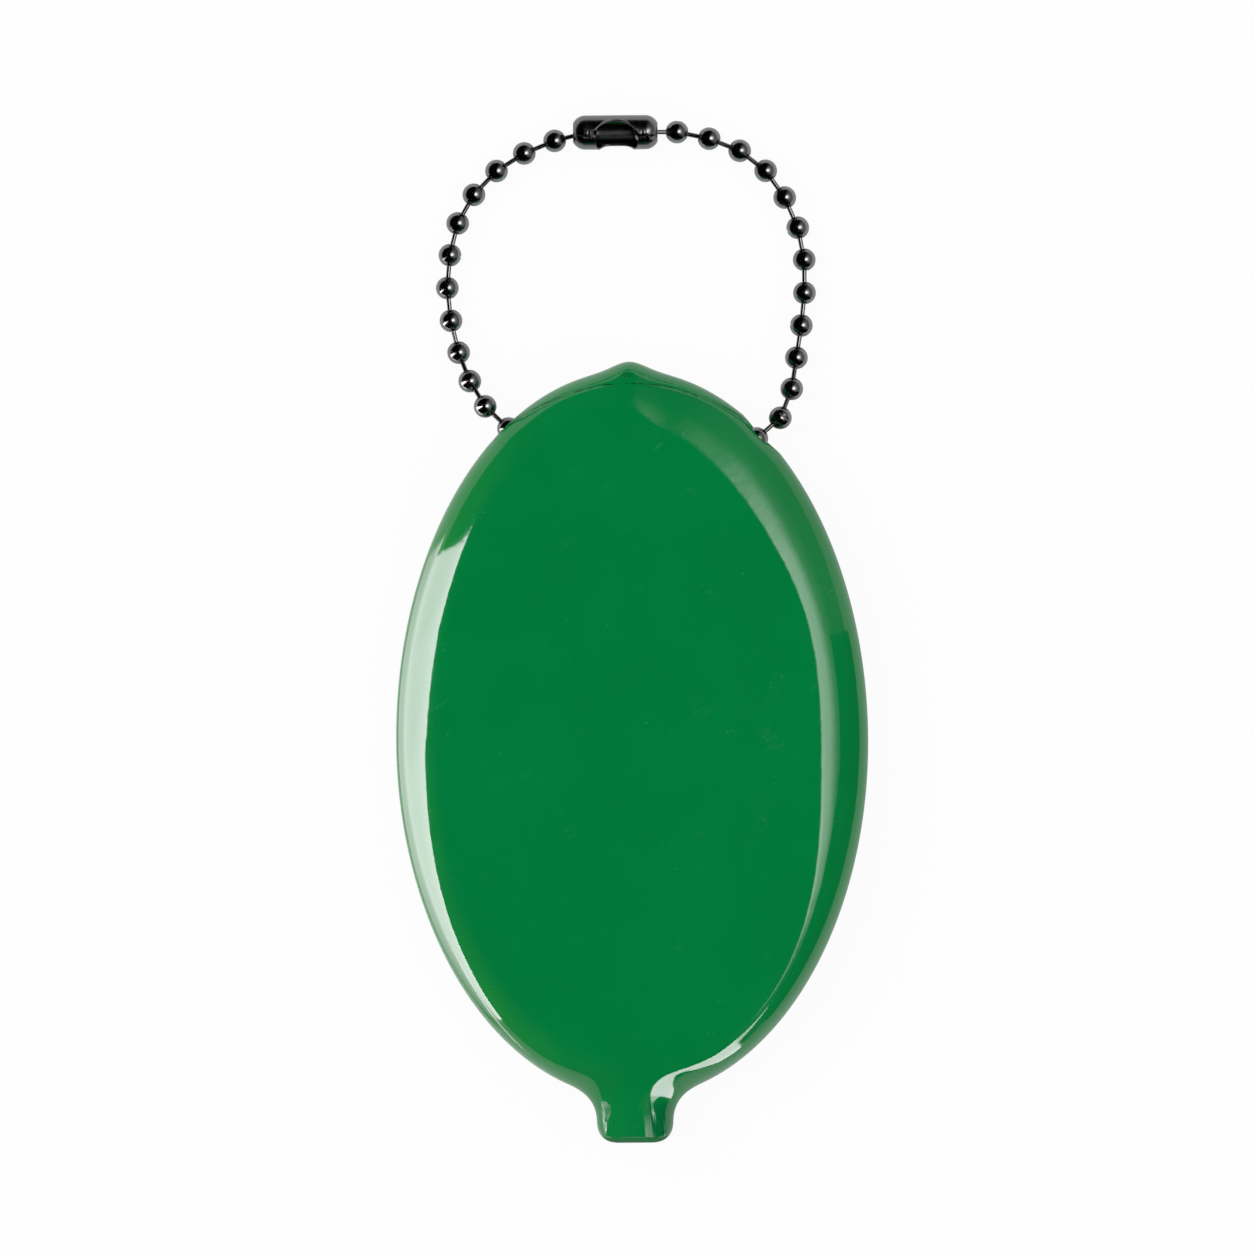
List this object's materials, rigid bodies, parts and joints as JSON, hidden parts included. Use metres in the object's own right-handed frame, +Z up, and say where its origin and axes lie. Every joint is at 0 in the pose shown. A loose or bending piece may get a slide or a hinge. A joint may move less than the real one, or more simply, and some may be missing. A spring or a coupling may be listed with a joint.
{
  "type": "squeeze coin purse",
  "caption": "Oval squeeze coin purse of soft glossy vinyl, with a lengthwise lip slit in its back, a closed tab and a ball chain loop with a snap connector.",
  "frame": {"origin": "on the plane the purse lies on, under the middle of the whole outline, chain included", "axes": "+Y along the purse's long axis towards the chain, +X across it, +Z up out of the smooth front face"},
  "size_m": [0.066, 0.1438, 0.0129],
  "materials": {
    "vinyl": "glossy soft vinyl, green",
    "bead_metal": "black nickel plate, polished",
    "link_wire": "black nickel plated wire",
    "connector_metal": "black nickel plate, polished"
  },
  "bodies": {
    "purse": {"purse_shell": "vinyl", "bead_slit_left": "bead_metal", "bead_slit_right": "bead_metal", "bead_hidden_1": "bead_metal", "bead_hidden_2": "bead_metal", "bead_hidden_3": "bead_metal", "bead_hidden_4": "bead_metal", "bead_hidden_5": "bead_metal", "bead_hidden_6": "bead_metal", "bead_hidden_7": "bead_metal", "links_hidden": "link_wire"},
    "lip_left": {"slit_lip_left": "vinyl"},
    "lip_right": {"slit_lip_right": "vinyl"},
    "row_1": {"bead_left_1": "bead_metal", "bead_right_1": "bead_metal", "links_row_1": "link_wire"},
    "row_2": {"bead_left_2": "bead_metal", "bead_right_2": "bead_metal", "links_row_2": "link_wire"},
    "row_3": {"bead_left_3": "bead_metal", "bead_right_3": "bead_metal", "links_row_3": "link_wire"},
    "row_4": {"bead_left_4": "bead_metal", "bead_right_4": "bead_metal", "links_row_4": "link_wire"},
    "row_5": {"bead_left_5": "bead_metal", "bead_right_5": "bead_metal", "links_row_5": "link_wire"},
    "row_6": {"bead_left_6": "bead_metal", "bead_right_6": "bead_metal", "links_row_6": "link_wire"},
    "row_7": {"bead_left_7": "bead_metal", "bead_right_7": "bead_metal", "links_row_7": "link_wire"},
    "row_8": {"bead_left_8": "bead_metal", "bead_right_8": "bead_metal", "links_row_8": "link_wire"},
    "crown": {"bead_left_9": "bead_metal", "bead_left_10": "bead_metal", "bead_left_11": "bead_metal", "bead_held_left": "bead_metal", "bead_right_9": "bead_metal", "bead_right_10": "bead_metal", "bead_right_11": "bead_metal", "bead_right_12": "bead_metal", "bead_held_right": "bead_metal", "links_crown": "link_wire"},
    "connector": {"connector": "connector_metal"}
  },
  "joints": [
    {"name": "fold_1", "type": "hinge", "parent": "purse", "child": "row_1", "pos_m": [0.00041, 0.02818, 0.00566], "axis": [0.9989, -0.0475, -0.0037], "range_deg": [-20, 20]},
    {"name": "fold_2", "type": "hinge", "parent": "row_1", "child": "row_2", "pos_m": [0.00036, 0.03144, 0.00439], "axis": [0.9991, -0.0417, -0.0065], "range_deg": [-20, 20]},
    {"name": "fold_3", "type": "hinge", "parent": "row_2", "child": "row_3", "pos_m": [0.00006, 0.03537, 0.0028], "axis": [0.9996, -0.0291, 0.0043], "range_deg": [-20, 20]},
    {"name": "fold_4", "type": "hinge", "parent": "row_3", "child": "row_4", "pos_m": [-0.00028, 0.03967, 0.00175], "axis": [0.9997, -0.0226, 0.0064], "range_deg": [-20, 20]},
    {"name": "fold_5", "type": "hinge", "parent": "row_4", "child": "row_5", "pos_m": [-0.00039, 0.04419, 0.0016], "axis": [0.9998, -0.0214, 0], "range_deg": [-20, 20]},
    {"name": "fold_6", "type": "hinge", "parent": "row_5", "child": "row_6", "pos_m": [-0.00032, 0.04877, 0.0016], "axis": [0.9998, -0.021, 0], "range_deg": [-20, 20]},
    {"name": "fold_7", "type": "hinge", "parent": "row_6", "child": "row_7", "pos_m": [-0.00014, 0.05333, 0.0016], "axis": [0.9998, -0.0208, 0], "range_deg": [-20, 20]},
    {"name": "fold_8", "type": "hinge", "parent": "row_7", "child": "row_8", "pos_m": [0.00002, 0.05771, 0.0016], "axis": [0.9998, -0.0195, 0], "range_deg": [-20, 20]},
    {"name": "fold_9", "type": "hinge", "parent": "row_8", "child": "crown", "pos_m": [0.00028, 0.06164, 0.0016], "axis": [0.9999, -0.0141, 0], "range_deg": [-20, 20]},
    {"name": "connector_spin", "type": "hinge", "parent": "crown", "child": "connector", "pos_m": [-0.0017, 0.06949, 0.0024], "axis": [1, 0.0006, 0], "continuous": true},
    {"name": "lip_left_bend", "type": "hinge", "parent": "purse", "child": "lip_left", "pos_m": [-0.018, -0.01559, 0.0003], "axis": [0, 1, 0], "range_deg": [0, 40], "stiffness_Nm_per_rad": 0.012, "springref_deg": -11.46},
    {"name": "lip_right_bend", "type": "hinge", "parent": "purse", "child": "lip_right", "pos_m": [0.018, -0.01559, 0.0003], "axis": [0, -1, 0], "range_deg": [0, 40], "stiffness_Nm_per_rad": 0.012, "springref_deg": -11.46}
  ],
  "couplings": [
    {"joint": "lip_right_bend", "follows": "lip_left_bend", "ratio": 1}
  ]
}
